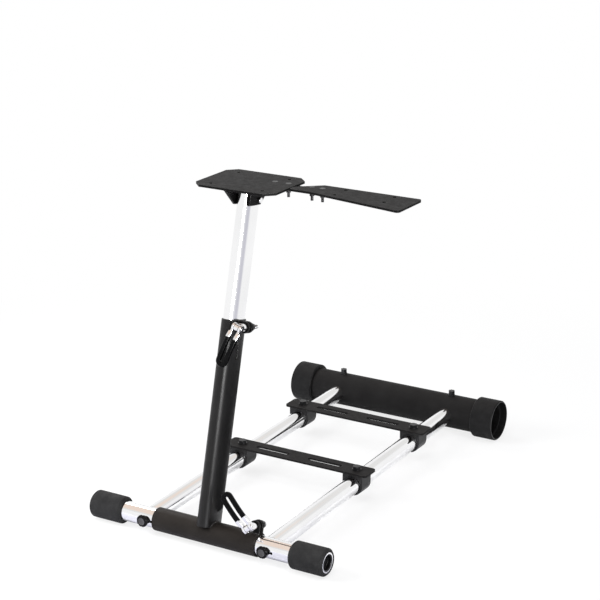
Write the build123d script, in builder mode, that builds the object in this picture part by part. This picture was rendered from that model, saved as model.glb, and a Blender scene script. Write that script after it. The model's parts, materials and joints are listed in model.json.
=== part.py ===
from build123d import *
import os
from math import asin, cos, degrees, radians, sin, tan

# Foldable racing wheel stand: a base of two cross tubes and two rails, a post that tilts on the front cross
# tube, a mast that slides in the post with a wheel plate and a shifter plate, and two cam-lever clamps.
# Millimetres. +X is the driver's right, +Y points away from the driver, +Z is up. The stand rests on Z = 0
# and the origin is the middle of its footprint.

# Clearances: gap between pieces that are welded, pushed or screwed on each other, and those of what moves
seat_gap = 0.1
hole_clearance = 0.2
pivot_clearance = 0.3
mast_clearance = 0.3
pin_clearance = 0.06
cam_gap = 0.3
cheek_clearance = 0.6

# Front cross tube, its feet and end plugs
front_tube_d = 35.0
front_tube_wall = 2.5
front_width = 470.0
foot_d = 48.0
foot_length = 66.0
foot_edge = 4.0
tube_end_recess = 1.0
plug_depth = 16.0
plug_recess = 6.0
plug_wall = 2.0
index_hole_d = 5.0
index_hole_step = 15.0

# Rear cross tube and its end sleeves
axle_spacing = 682.0
rear_tube_d = 65.0
rear_tube_wall = 2.5
rear_width = 448.0
rear_cap_d = 78.0
rear_cap_length = 46.0
rear_cap_edge = 2.0
rear_cap_lip = 3.5
rear_tube_recess = 14.0

# Rails and their screws
rail_spacing = 242.0
rail_d = 32.0
rail_wall = 2.0
rail_nut_depth = 12.0
rail_reach = 20.0
knob_d = 20.0
knob_depth = 11.0
knob_neck_d = 13.0
knob_neck = 3.0
knob_flutes = 10
knob_flute_d = 3.0
screw_d = 8.0
screw_length = 52.0
rail_bolt_head_d = 13.0
rail_bolt_head = 10.0
rail_bolt_d = 8.0
rail_bolt_washer = 2.0

# Pedal bars and the collars that carry them on the rails
front_bar_place = 300.0
rear_bar_place = 520.0
bar_overhang = 29.0
bar_depth = 40.0
bar_thickness = 4.0
bar_corner = 6.0
bar_slot_length = 70.0
bar_slot_width = 9.0
bar_slot_span = 110.0
collar_depth = 34.0
collar_wall = 4.0

# Pivot sleeve and post, whose flat sides are slightly crowned
post_lean = 14.0
sleeve_d = 41.0
sleeve_length = 206.0
post_depth = 56.0
post_width = 28.0
post_crown = 1.5
post_wall = 2.0
post_foot = 12.0
post_height = 366.0
slit_width = 4.0
post_slit_length = 68.0
sleeve_slit_length = 42.0

# Clamps: ears, eye bolts, cam seats, nuts and levers
ear_thickness = 5.0
ear_r = 10.0
upper_bolt_reach = 12.0
upper_bolt_drop = 10.5
lower_bolt_side = 93.0
lower_bolt_rise = 10.5
bolt_d = 6.0
upper_bolt_tail = 16.0
lower_bolt_tail = 5.0
seat_d = 14.0
seat_length = 13.0
washer_d = 15.0
washer_thickness = 1.5
nut_d = 15.0
nut_length = 8.5
pin_d = 6.0
pin_head = 1.0
eye_d = 12.0
eye_width = 8.0
cam_r = 7.0
cam_offset = 1.2
cheek_thickness = 4.0
fork_length = 18.0
fork_depth = 8.0
core_width = 3.5
core_depth = 4.0
lever_stand_off = 11.0
grip_length = 53.0
grip_width = 23.0
grip_bar = 8.5
grip_depth = 8.0
upper_lever_turn = 194.0
lower_lever_turn = -42.0

# Mast, head, wheel plate and shifter plate
mast_wall = 1.5
mast_bottom = 195.0
plate_level = 600.0
plate_thickness = 4.0
gusset_thickness = 4.0
gusset_height = 36.5
gusset_foot_rise = 4.0
gusset_front_foot = 22.0
gusset_front_top = 57.0
gusset_rear_foot = 15.0
gusset_rear_top = 49.0
right_gusset_front = 20.0
head_bolt_d = 6.0
head_bolt_head_d = 10.0
head_bolt_head = 4.0
head_bolt_place = 9.0
head_bolt_rise = 11.0
wheel_plate_width = 156.0
wheel_plate_depth = 124.0
wheel_plate_corner = 16.0
wheel_hole_d = 6.5
wheel_hole_span_x = 100.0
wheel_hole_span_y = 86.0
arm_start = 20.0
arm_end = 135.0
arm_place = 20.0
arm_width = 20.0
arm_thickness = 6.0
shifter_start = 80.0
shifter_end = 300.0
shifter_front = 43.0
shifter_rear = 40.0
tongue_length = 40.0
tongue_width = 16.0
tongue_front = 10.0
shifter_corner = 6.0
shifter_hole_d = 6.5
shifter_hole_span_x = 90.0
shifter_hole_span_y = 36.0
shifter_hole_place = 12.0

# Worked-out places
front_tube_r = front_tube_d / 2
sleeve_r = sleeve_d / 2
rail_r = rail_d / 2
rail_half = rail_spacing / 2
front_half = front_width / 2
front_axle_z = foot_d / 2
rear_axle_z = rear_cap_d / 2
rail_rise = rear_axle_z - front_axle_z
collar_r = rail_r + collar_wall
bar_length = rail_spacing + 2 * bar_overhang
knob_front = front_tube_r + knob_neck + knob_depth
centre_x = (shifter_end - front_half) / 2
centre_y = (axle_spacing + rear_cap_d / 2 - knob_front) / 2
ear_face = slit_width / 2 + ear_thickness
pin_place = ear_face + seat_length + cam_gap + cam_r + cam_offset
cheek_inner = eye_width / 2 + cheek_clearance
fork_half = cheek_inner + cheek_thickness
loop_straight = grip_length - grip_width / 2
upper_bolt_side = post_width / 2 + upper_bolt_reach
upper_bolt_height = post_height - upper_bolt_drop
lower_bolt_height = sleeve_r + lower_bolt_rise
mast_inset = post_wall + mast_clearance
mast_half = post_width / 2 - mast_inset
lean = radians(post_lean)
head_y = (plate_level - front_axle_z) * tan(lean)
plate_rise = (plate_level - front_axle_z) / cos(lean)
gusset_bottom = plate_rise - gusset_height
far = 2 * axle_spacing
sides = {"left": -1, "right": 1}

# Oval of the post: round ends, and crowned sides whose arcs run smoothly into them
end_r = post_width / 2 - post_crown
end_place = post_depth / 2 - end_r
side_r = ((post_width / 2) ** 2 + end_place**2 - end_r**2) / (2 * post_crown)
side_place = side_r - post_width / 2
side_angle = degrees(asin(end_place / (side_r - end_r)))


def spot(x, y, z):
    """A point given from the floor under the middle of the front cross tube."""
    return (x - centre_x, y - centre_y, z)


# The post's frame: x across, y from front to rear, z up the post from the middle of the front cross tube
post_plane = Plane(spot(0, 0, front_axle_z), x_dir=(1, 0, 0), z_dir=(0, sin(lean), cos(lean)))
front_axle = Plane(spot(0, 0, front_axle_z), x_dir=(0, 1, 0), z_dir=(1, 0, 0))
rear_axle = Plane(spot(0, axle_spacing, rear_axle_z), x_dir=(0, 1, 0), z_dir=(1, 0, 0))
plate_plane = Plane(spot(0, head_y, plate_level))


def post_spot(x, y, z):
    """A point of the post's frame."""
    return post_plane.from_local_coords(Vector(x, y, z))


def post_face(offset):
    """A plane across the post at a distance behind its middle; its x runs across, its y up the post."""
    return Plane(post_spot(0, offset, 0), x_dir=post_plane.x_dir, z_dir=-post_plane.y_dir)


def rail_foot(side):
    """The start of a rail on the front cross tube's line, pointing along the rail."""
    return Plane(
        spot(side * rail_half, 0, front_axle_z), x_dir=(1, 0, 0), z_dir=(0, axle_spacing, rail_rise)
    )


def screw_line(side):
    """The line of a rail's hand screw, pointing away from the driver."""
    return Plane(spot(side * rail_half, 0, front_axle_z), x_dir=(1, 0, 0), z_dir=(0, 1, 0))


def rail_height(place):
    """Height of the rails' middle at a distance behind the front cross tube."""
    return front_axle_z + rail_rise * place / axle_spacing


def plate_edge(place):
    """Height along the mast, in the post's frame, at which the plates' underside crosses a place."""
    return plate_rise + place * tan(lean)


def oval(inset, mode=Mode.ADD):
    """Draws the post's oval, moved inwards by an inset, on the sketch at hand."""
    with BuildLine(Plane.XY) as outline:
        CenterArc((0, end_place), end_r - inset, side_angle, 180 - 2 * side_angle)
        CenterArc((side_place, 0), side_r - inset, 180 - side_angle, 2 * side_angle)
        CenterArc((0, -end_place), end_r - inset, 180 + side_angle, 180 - 2 * side_angle)
        CenterArc((-side_place, 0), side_r - inset, -side_angle, 2 * side_angle)
    make_face(outline.edges(), mode=mode)


def loop(inner, outer):
    """Draws a long loop on the sketch at hand: two bars from the fork, joined by a round end."""
    with Locations((0, fork_length + loop_straight / 2)):
        Rectangle(2 * outer, loop_straight)
    with Locations((0, fork_length + loop_straight)):
        Circle(outer)
    with Locations((0, fork_length + loop_straight / 2)):
        Rectangle(2 * inner, loop_straight, mode=Mode.SUBTRACT)
    with Locations((0, fork_length + loop_straight)):
        Circle(inner, mode=Mode.SUBTRACT)


def keep(piece, name):
    """Names a finished piece and writes it."""
    piece.part.label = name
    export_step(piece.part, f"parts/{name}.step")


os.makedirs("parts", exist_ok=True)

# Front cross tube with the holes of the rail screws and of the second rail position
with BuildPart() as front_cross_tube:
    with BuildSketch(front_axle.offset(tube_end_recess - front_half)):
        Circle(front_tube_r)
        Circle(front_tube_r - front_tube_wall, mode=Mode.SUBTRACT)
    extrude(amount=front_width - 2 * tube_end_recess)
    for side in sides.values():
        with BuildSketch(screw_line(side)):
            Circle(screw_d / 2 + hole_clearance)
        extrude(amount=front_tube_d, both=True, mode=Mode.SUBTRACT)
        with BuildSketch(screw_line(side)):
            with Locations((index_hole_step, 0)):
                Circle(index_hole_d / 2)
        extrude(amount=-front_tube_d, mode=Mode.SUBTRACT)
keep(front_cross_tube, "front_cross_tube")

# Soft feet on the tube's ends and the plugs inside them
for name, side in sides.items():
    foot_end = Plane(spot(side * front_half, 0, front_axle_z), x_dir=(0, 1, 0), z_dir=(-side, 0, 0))
    with BuildPart() as foot:
        with BuildSketch(foot_end):
            Circle(foot_d / 2)
        extrude(amount=foot_length)
        chamfer(foot.edges(), foot_edge)
        with BuildSketch(foot_end):
            Circle(front_tube_r + seat_gap)
        extrude(amount=foot_length, mode=Mode.SUBTRACT)
    keep(foot, f"{name}_front_foot")

    plug_r = front_tube_r - front_tube_wall - seat_gap
    with BuildPart() as plug:
        with BuildSketch(foot_end.offset(2 * tube_end_recess)):
            Circle(plug_r)
        extrude(amount=plug_depth)
        with BuildSketch(foot_end.offset(2 * tube_end_recess)):
            Circle(plug_r - plug_wall)
        extrude(amount=plug_recess, mode=Mode.SUBTRACT)
    keep(plug, f"{name}_tube_plug")

# Rails: coped on the front cross tube, a nut plate inside for the hand screw, a bolt hole at the rear
for name, side in sides.items():
    foot_line = rail_foot(side)
    rail_length = (axle_spacing**2 + rail_rise**2) ** 0.5 + rail_reach
    with BuildPart() as rail:
        with BuildSketch(foot_line):
            Circle(rail_r)
        extrude(amount=rail_length)
        with BuildSketch(foot_line):
            Circle(rail_r - rail_wall)
        extrude(amount=front_tube_d, mode=Mode.SUBTRACT)
        with BuildSketch(foot_line.offset(front_tube_d + rail_nut_depth)):
            Circle(rail_r - rail_wall)
        extrude(amount=rail_length, mode=Mode.SUBTRACT)
        with BuildSketch(front_axle):
            Circle(front_tube_r + seat_gap)
        extrude(amount=front_half, both=True, mode=Mode.SUBTRACT)
        with BuildSketch(screw_line(side)):
            Circle(screw_d / 2 + hole_clearance)
        extrude(amount=front_tube_d + 2 * rail_nut_depth, mode=Mode.SUBTRACT)
        with BuildSketch(Plane(spot(side * rail_half, axle_spacing, rear_axle_z))):
            Circle(rail_bolt_d / 2 + hole_clearance)
        extrude(amount=rail_d, mode=Mode.SUBTRACT)
    keep(rail, f"{name}_rail")

    # Hand screw: a fluted knob whose neck is hollowed to the tube, and a screw into the rail
    knob_face = screw_line(side).offset(-knob_front)
    with BuildPart() as knob:
        with BuildSketch(knob_face):
            Circle(knob_d / 2)
            with PolarLocations(knob_d / 2, knob_flutes):
                Circle(knob_flute_d / 2, mode=Mode.SUBTRACT)
        extrude(amount=knob_depth)
        with BuildSketch(knob_face.offset(knob_depth)):
            Circle(knob_neck_d / 2)
        extrude(amount=knob_neck + front_tube_r)
        with BuildSketch(front_axle):
            Circle(front_tube_r + seat_gap)
        extrude(amount=front_half, both=True, mode=Mode.SUBTRACT)
        with BuildSketch(knob_face.offset(knob_depth)):
            Circle(screw_d / 2)
        extrude(amount=knob_neck + screw_length)
    keep(knob, f"{name}_rail_knob")

# Rear cross tube with the rails' entries and the bolt holes above them
with BuildPart() as rear_cross_tube:
    with BuildSketch(rear_axle.offset(rear_tube_recess - rear_width / 2)):
        Circle(rear_tube_d / 2)
        Circle(rear_tube_d / 2 - rear_tube_wall, mode=Mode.SUBTRACT)
    extrude(amount=rear_width - 2 * rear_tube_recess)
    for side in sides.values():
        with BuildSketch(rail_foot(side).offset(axle_spacing - rear_tube_d)):
            Circle(rail_r + seat_gap)
        extrude(amount=rear_tube_d, mode=Mode.SUBTRACT)
        with BuildSketch(Plane(spot(side * rail_half, axle_spacing, rear_axle_z))):
            Circle(rail_bolt_d / 2 + hole_clearance)
        extrude(amount=rear_tube_d, mode=Mode.SUBTRACT)
keep(rear_cross_tube, "rear_cross_tube")

# Sleeves on the rear tube's ends, with a thin open lip beyond the tube, and the bolts into the rails
for name, side in sides.items():
    cap_end = Plane(
        spot(side * rear_width / 2, axle_spacing, rear_axle_z), x_dir=(0, 1, 0), z_dir=(-side, 0, 0)
    )
    with BuildPart() as rear_cap:
        with BuildSketch(cap_end):
            Circle(rear_cap_d / 2)
        extrude(amount=rear_cap_length)
        chamfer(rear_cap.edges(), rear_cap_edge)
        with BuildSketch(cap_end):
            Circle(rear_tube_d / 2 + seat_gap)
        extrude(amount=rear_cap_length, mode=Mode.SUBTRACT)
        with BuildSketch(cap_end):
            Circle(rear_cap_d / 2 - rear_cap_lip)
        extrude(amount=rear_tube_recess, mode=Mode.SUBTRACT)
    keep(rear_cap, f"{name}_rear_sleeve")

    bolt_top = Plane(spot(side * rail_half, axle_spacing, rear_axle_z))
    with BuildPart() as rail_bolt:
        with BuildSketch(bolt_top):
            Circle(rail_bolt_head_d / 2)
        extrude(amount=rear_tube_d / 2 + rail_bolt_washer)
        with BuildSketch(bolt_top):
            RegularPolygon(rail_bolt_head_d / 2, 6)
        extrude(amount=rear_tube_d / 2 + rail_bolt_head)
        with BuildSketch(rear_axle):
            Circle(rear_tube_d / 2 + seat_gap)
        extrude(amount=rear_width / 2, both=True, mode=Mode.SUBTRACT)
        with BuildSketch(bolt_top.offset(rail_r - 3 * rail_wall)):
            Circle(rail_bolt_d / 2)
        extrude(amount=rear_tube_d / 2 + rail_bolt_washer - rail_r + 3 * rail_wall)
    keep(rail_bolt, f"{name}_rail_bolt")

# Pedal bars, level across both rails, on round collars with level tops
for bar_name, place in {"front": front_bar_place, "rear": rear_bar_place}.items():
    collar_top = rail_height(place) + collar_r
    with BuildPart() as bar:
        with BuildSketch(Plane(spot(0, place, collar_top))):
            RectangleRounded(bar_length, bar_depth, bar_corner)
            with GridLocations(bar_slot_span, bar_depth, 2, 1):
                SlotOverall(bar_slot_length, bar_slot_width, mode=Mode.SUBTRACT)
        extrude(amount=bar_thickness)
    keep(bar, f"{bar_name}_pedal_bar")

    for name, side in sides.items():
        collar_side = Plane(
            spot(side * rail_half, place, rail_height(place)), x_dir=(-1, 0, 0), z_dir=(0, 1, 0)
        )
        with BuildPart() as collar:
            with BuildSketch(collar_side):
                Circle(collar_r)
                with Locations((0, collar_r / 2)):
                    Rectangle(2 * collar_r, collar_r)
            extrude(amount=collar_depth / 2, both=True)
            with BuildSketch(rail_foot(side)):
                Circle(rail_r + seat_gap)
            extrude(amount=axle_spacing, mode=Mode.SUBTRACT)
        keep(collar, f"{bar_name}_{name}_rail_collar")

# Pivot sleeve, split on top of its right end
with BuildPart() as pivot_sleeve:
    with BuildSketch(front_axle.offset(-sleeve_length / 2)):
        Circle(sleeve_r)
        Circle(front_tube_r + pivot_clearance, mode=Mode.SUBTRACT)
    extrude(amount=sleeve_length)
    with BuildSketch(post_plane):
        with Locations((sleeve_length / 2, 0)):
            Rectangle(2 * sleeve_slit_length, slit_width)
    extrude(amount=sleeve_d, mode=Mode.SUBTRACT)
keep(pivot_sleeve, "pivot_sleeve")

# Post: an oval tube coped on the sleeve and split on the right at its top
with BuildPart() as lower_post:
    with BuildSketch(post_plane.offset(post_foot)):
        oval(0)
        oval(post_wall, mode=Mode.SUBTRACT)
    extrude(amount=post_height - post_foot)
    with BuildSketch(front_axle):
        Circle(sleeve_r + seat_gap)
    extrude(amount=sleeve_length / 2, both=True, mode=Mode.SUBTRACT)
    with BuildSketch(post_plane.offset(post_height)):
        with Locations((post_width / 2, 0)):
            Rectangle(post_width, slit_width)
    extrude(amount=-post_slit_length, mode=Mode.SUBTRACT)
keep(lower_post, "lower_post")

# Clamp ears: one pair beside the post's slit, one pair on the sleeve beside its slit
for name, offset in {"front": -slit_width / 2, "rear": ear_face}.items():
    with BuildPart() as upper_ear:
        with BuildSketch(post_face(offset)):
            with Locations((upper_bolt_side, upper_bolt_height)):
                Circle(ear_r)
            with Locations((upper_bolt_side / 2, upper_bolt_height)):
                Rectangle(upper_bolt_side, 2 * ear_r)
            with Locations((upper_bolt_side, upper_bolt_height)):
                Circle(bolt_d / 2 + hole_clearance, mode=Mode.SUBTRACT)
        extrude(amount=ear_thickness)
        with BuildSketch(post_plane):
            oval(-seat_gap)
        extrude(amount=far, mode=Mode.SUBTRACT)
    keep(upper_ear, f"upper_{name}_ear")

    with BuildPart() as lower_ear:
        with BuildSketch(post_face(offset)):
            with Locations((lower_bolt_side, lower_bolt_height)):
                Circle(ear_r)
            with Locations((lower_bolt_side, lower_bolt_height / 2)):
                Rectangle(2 * ear_r, lower_bolt_height)
            with Locations((lower_bolt_side, lower_bolt_height)):
                Circle(bolt_d / 2 + hole_clearance, mode=Mode.SUBTRACT)
        extrude(amount=ear_thickness)
        with BuildSketch(front_axle):
            Circle(sleeve_r + seat_gap)
        extrude(amount=front_half, both=True, mode=Mode.SUBTRACT)
    keep(lower_ear, f"lower_{name}_ear")

# Cam-lever clamps: eye bolt, cam seat, nut, then the lever with its pin, fork and grip
clamps = {
    "upper": (upper_bolt_side, upper_bolt_height, upper_lever_turn, upper_bolt_tail),
    "lower": (lower_bolt_side, lower_bolt_height, lower_lever_turn, lower_bolt_tail),
}
for name, (side, height, turn, tail) in clamps.items():
    turned = radians(turn)
    tipped = radians(lever_stand_off)
    pin_spot = post_spot(side, -pin_place, height)
    along = post_plane.x_dir * sin(turned) + post_plane.z_dir * cos(turned)
    pin_dir = post_plane.x_dir * cos(turned) - post_plane.z_dir * sin(turned)
    grip_dir = along * cos(tipped) - post_plane.y_dir * sin(tipped)
    # Bolt line to the ears; cam side with x to the ears; lever side with y along the grip; grip face
    bolt_line = Plane(pin_spot, x_dir=pin_dir, z_dir=post_plane.y_dir)
    cam_side = Plane(pin_spot, x_dir=post_plane.y_dir, z_dir=pin_dir)
    lever_side = Plane(pin_spot, x_dir=grip_dir.cross(pin_dir), z_dir=pin_dir)
    grip_face = Plane(pin_spot, x_dir=pin_dir, z_dir=pin_dir.cross(grip_dir))
    nut_place = pin_place + ear_face

    with BuildPart() as eye_bolt:
        with BuildSketch(cam_side):
            Circle(eye_d / 2)
        extrude(amount=eye_width / 2, both=True)
        with BuildSketch(bolt_line):
            Circle(bolt_d / 2)
        extrude(amount=nut_place + washer_thickness + nut_length + tail)
        with BuildSketch(cam_side):
            Circle(pin_d / 2 + pin_clearance)
        extrude(amount=eye_width, both=True, mode=Mode.SUBTRACT)
    keep(eye_bolt, f"{name}_eye_bolt")

    with BuildPart() as cam_seat:
        with BuildSketch(bolt_line.offset(pin_place - ear_face)):
            Circle(seat_d / 2)
            Circle(bolt_d / 2 + hole_clearance, mode=Mode.SUBTRACT)
        extrude(amount=-seat_length)
    keep(cam_seat, f"{name}_cam_seat")

    with BuildPart() as nut:
        with BuildSketch(bolt_line.offset(nut_place)):
            Circle(washer_d / 2)
        extrude(amount=washer_thickness)
        with BuildSketch(bolt_line.offset(nut_place + washer_thickness)):
            RegularPolygon(nut_d / 2, 6)
        extrude(amount=nut_length)
        with BuildSketch(bolt_line.offset(nut_place)):
            Circle(bolt_d / 2 + seat_gap)
        extrude(amount=washer_thickness + nut_length, mode=Mode.SUBTRACT)
    keep(nut, f"{name}_clamp_nut")

    with BuildPart() as pin:
        with BuildSketch(cam_side):
            Circle(pin_d / 2)
        extrude(amount=fork_half + pin_head, both=True)
    keep(pin, f"{name}_lever_pin")

    # Fork: two cam cheeks on legs, joined only by the bent core that runs on inside the grip
    with BuildPart() as fork:
        with BuildSketch(cam_side):
            with Locations((cam_offset, 0)):
                Circle(cam_r)
        extrude(amount=fork_half, both=True)
        with BuildSketch(lever_side):
            with Locations((0, fork_length / 2)):
                Rectangle(fork_depth, fork_length)
        extrude(amount=fork_half, both=True)
        with BuildSketch(lever_side):
            Rectangle(6 * cam_r, 4 * fork_length)
        extrude(amount=cheek_inner, both=True, mode=Mode.SUBTRACT)
        with BuildSketch(grip_face):
            loop(fork_half - core_width, fork_half)
        extrude(amount=core_depth / 2, both=True)
        with BuildSketch(cam_side):
            Circle(pin_d / 2 + seat_gap / 2)
        extrude(amount=2 * fork_half, both=True, mode=Mode.SUBTRACT)
    keep(fork, f"{name}_lever_fork")

    # Grip: a moulded loop round the core, open between its bars
    with BuildPart() as grip:
        with BuildSketch(grip_face):
            loop(grip_width / 2 - grip_bar, grip_width / 2)
        extrude(amount=grip_depth / 2, both=True)
        with BuildSketch(grip_face):
            loop(fork_half - core_width - seat_gap, fork_half + seat_gap)
        extrude(amount=core_depth / 2 + seat_gap, both=True, mode=Mode.SUBTRACT)
    keep(grip, f"{name}_lever_grip")

# Mast: an oval tube that slides in the post, cut level under the wheel plate
head_line = Plane(post_spot(0, head_bolt_place, gusset_bottom + head_bolt_rise), z_dir=(1, 0, 0))
with BuildPart() as mast_tube:
    with BuildSketch(post_plane.offset(mast_bottom)):
        oval(mast_inset)
        oval(mast_inset + mast_wall, mode=Mode.SUBTRACT)
    extrude(amount=plate_level)
    with BuildSketch(plate_plane):
        Rectangle(far, far)
    extrude(amount=far, mode=Mode.SUBTRACT)
    with BuildSketch(head_line):
        Circle(head_bolt_d / 2 + hole_clearance)
    extrude(amount=post_width, both=True, mode=Mode.SUBTRACT)
keep(mast_tube, "mast_tube")

# Head gussets on the mast's sides, up to the plate: both flare to the rear, the left one also to the front
gusset_fronts = {
    "left": (gusset_front_foot, gusset_front_top),
    "right": (right_gusset_front, right_gusset_front),
}
for name, (foot_front, top_front) in gusset_fronts.items():
    side = sides[name]
    gusset_face = Plane(post_spot(side * mast_half, 0, 0), x_dir=post_plane.y_dir, z_dir=(1, 0, 0))
    with BuildPart() as gusset:
        with BuildSketch(gusset_face):
            with BuildLine():
                Polyline(
                    (-foot_front, gusset_bottom),
                    (gusset_rear_foot, gusset_bottom + gusset_foot_rise),
                    (gusset_rear_top, plate_edge(gusset_rear_top)),
                    (-top_front, plate_edge(-top_front)),
                    close=True,
                )
            make_face()
            with Locations((head_bolt_place, gusset_bottom + head_bolt_rise)):
                Circle(head_bolt_d / 2 + hole_clearance, mode=Mode.SUBTRACT)
        extrude(amount=side * gusset_thickness)
    keep(gusset, f"{name}_head_gusset")

# Bolt through both gussets and the mast
with BuildPart() as head_bolt:
    outer_face = mast_half + gusset_thickness
    with BuildSketch(head_line):
        Circle(head_bolt_d / 2)
    extrude(amount=outer_face, both=True)
    for side in sides.values():
        with BuildSketch(head_line.offset(side * outer_face)):
            Circle(head_bolt_head_d / 2)
        extrude(amount=side * head_bolt_head)
keep(head_bolt, "head_bolt")

# Wheel plate, level, with its corners cut
with BuildPart() as wheel_plate:
    with BuildSketch(plate_plane) as wheel_outline:
        Rectangle(wheel_plate_width, wheel_plate_depth)
        chamfer(wheel_outline.vertices(), wheel_plate_corner)
        with GridLocations(wheel_hole_span_x, wheel_hole_span_y, 2, 2):
            Circle(wheel_hole_d / 2, mode=Mode.SUBTRACT)
    extrude(amount=plate_thickness)
keep(wheel_plate, "wheel_plate")

# Shifter arm: a strap under the wheel plate's right side that carries the shifter plate
with BuildPart() as shifter_arm:
    with BuildSketch(plate_plane):
        with Locations(((arm_start + arm_end) / 2, arm_place)):
            Rectangle(arm_end - arm_start, arm_width)
    extrude(amount=-arm_thickness)
keep(shifter_arm, "shifter_arm")

# Shifter plate: a narrow tongue beside the wheel plate that widens to both sides
with BuildPart() as shifter_plate:
    with BuildSketch(plate_plane) as shifter_outline:
        with BuildLine():
            Polyline(
                (shifter_start, -tongue_front),
                (shifter_start + tongue_length, -tongue_front),
                (shifter_end, -shifter_front),
                (shifter_end, shifter_rear),
                (shifter_start + tongue_length, shifter_rear),
                (shifter_start, tongue_width - tongue_front),
                close=True,
            )
        make_face()
        fillet(shifter_outline.vertices(), shifter_corner)
        with Locations(((shifter_start + tongue_length + shifter_end) / 2, shifter_hole_place)):
            with GridLocations(shifter_hole_span_x, shifter_hole_span_y, 2, 2):
                Circle(shifter_hole_d / 2, mode=Mode.SUBTRACT)
    extrude(amount=plate_thickness)
keep(shifter_plate, "shifter_plate")
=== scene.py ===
import json
import math

import bmesh
import bpy
from mathutils import Matrix, Vector

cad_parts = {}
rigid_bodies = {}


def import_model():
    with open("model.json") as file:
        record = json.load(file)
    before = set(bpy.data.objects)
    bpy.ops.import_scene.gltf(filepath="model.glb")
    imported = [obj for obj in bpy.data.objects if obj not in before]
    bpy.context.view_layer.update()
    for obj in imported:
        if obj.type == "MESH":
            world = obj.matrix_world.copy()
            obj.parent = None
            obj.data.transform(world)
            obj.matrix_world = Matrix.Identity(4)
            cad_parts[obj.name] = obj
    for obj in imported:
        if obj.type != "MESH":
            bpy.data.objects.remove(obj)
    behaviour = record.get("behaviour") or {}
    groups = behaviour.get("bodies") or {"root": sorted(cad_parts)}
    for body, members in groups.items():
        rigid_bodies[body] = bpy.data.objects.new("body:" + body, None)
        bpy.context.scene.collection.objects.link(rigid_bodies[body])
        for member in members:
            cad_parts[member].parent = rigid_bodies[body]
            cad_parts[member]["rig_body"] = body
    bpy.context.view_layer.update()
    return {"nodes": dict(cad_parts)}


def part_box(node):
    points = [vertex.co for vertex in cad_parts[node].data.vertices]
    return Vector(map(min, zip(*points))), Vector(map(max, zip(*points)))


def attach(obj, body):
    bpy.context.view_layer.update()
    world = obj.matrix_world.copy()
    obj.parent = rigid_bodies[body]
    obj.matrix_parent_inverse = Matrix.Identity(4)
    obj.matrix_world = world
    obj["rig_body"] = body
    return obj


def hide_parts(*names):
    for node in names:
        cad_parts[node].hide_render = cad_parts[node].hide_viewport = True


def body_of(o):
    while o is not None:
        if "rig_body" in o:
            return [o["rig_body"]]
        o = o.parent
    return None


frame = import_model()

# Front cross tube: a round steel tube across the front of the base, which carries the post.
# It is chromed all over and polished, with a faint haze from handling that only shows in long
# reflections.
mm = 0.001
nodes = frame["nodes"]

# Mottle: slow and fine noise on the piece's own coordinates, mapped between a low and a high value
mottle = bpy.data.node_groups.new("mottle", "ShaderNodeTree")
for label, value in {"Scale": 100.0, "Low": 0.0, "High": 1.0}.items():
    socket = mottle.interface.new_socket(label, in_out="INPUT", socket_type="NodeSocketFloat")
    socket.default_value = value
mottle.interface.new_socket("Value", in_out="OUTPUT", socket_type="NodeSocketFloat")
mottle_in = mottle.nodes.new("NodeGroupInput")
mottle_out = mottle.nodes.new("NodeGroupOutput")
coords = mottle.nodes.new("ShaderNodeTexCoord")
noise = mottle.nodes.new("ShaderNodeTexNoise")
noise.inputs["Detail"].default_value = 4.0
noise.inputs["Roughness"].default_value = 0.6
spread = mottle.nodes.new("ShaderNodeMapRange")
spread.inputs["From Min"].default_value = 0.3
spread.inputs["From Max"].default_value = 0.7
mottle.links.new(coords.outputs["Object"], noise.inputs["Vector"])
mottle.links.new(mottle_in.outputs["Scale"], noise.inputs["Scale"])
mottle.links.new(noise.outputs["Fac"], spread.inputs["Value"])
mottle.links.new(mottle_in.outputs["Low"], spread.inputs["To Min"])
mottle.links.new(mottle_in.outputs["High"], spread.inputs["To Max"])
mottle.links.new(spread.outputs["Result"], mottle_out.inputs["Value"])


def place_mottle(material, scale, low=0.0, high=1.0):
    """Places the mottle group in a material and returns its value socket."""
    group = material.node_tree.nodes.new("ShaderNodeGroup")
    group.node_tree = mottle
    group.inputs["Scale"].default_value = scale
    group.inputs["Low"].default_value = low
    group.inputs["High"].default_value = high
    return group.outputs["Value"]


def new_finish(name, dark, light, tone_scale, roughness, rough_scale, grain_scale, grain_mm, **fixed):
    """A finish with a mottled colour and roughness and a fine grain; fixed sets plain shader sockets."""
    material = bpy.data.materials.new(name)
    material.use_nodes = True
    tree = material.node_tree
    shader = tree.nodes["Principled BSDF"]
    tone = tree.nodes.new("ShaderNodeMix")
    tone.data_type = "RGBA"
    tone.inputs["A"].default_value = (*dark, 1.0)
    tone.inputs["B"].default_value = (*light, 1.0)
    tree.links.new(place_mottle(material, tone_scale), tone.inputs["Factor"])
    tree.links.new(tone.outputs["Result"], shader.inputs["Base Color"])
    tree.links.new(place_mottle(material, rough_scale, *roughness), shader.inputs["Roughness"])
    grain = tree.nodes.new("ShaderNodeBump")
    grain.inputs["Strength"].default_value = 1.0
    grain.inputs["Distance"].default_value = grain_mm * mm
    tree.links.new(place_mottle(material, grain_scale), grain.inputs["Height"])
    tree.links.new(grain.outputs["Normal"], shader.inputs["Normal"])
    for socket, value in fixed.items():
        shader.inputs[socket.replace("_", " ")].default_value = value
    return material


def wear(material, *names):
    """Gives CAD nodes their finish."""
    for name in names:
        nodes[name].data.materials.clear()
        nodes[name].data.materials.append(material)


chrome = new_finish(
    "chrome", dark=(0.86, 0.86, 0.865), light=(0.92, 0.92, 0.925), tone_scale=9.0,
    roughness=(0.06, 0.11), rough_scale=40.0, grain_scale=30.0, grain_mm=0.003, Metallic=1.0,
)
wear(chrome, "front_cross_tube")

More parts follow.
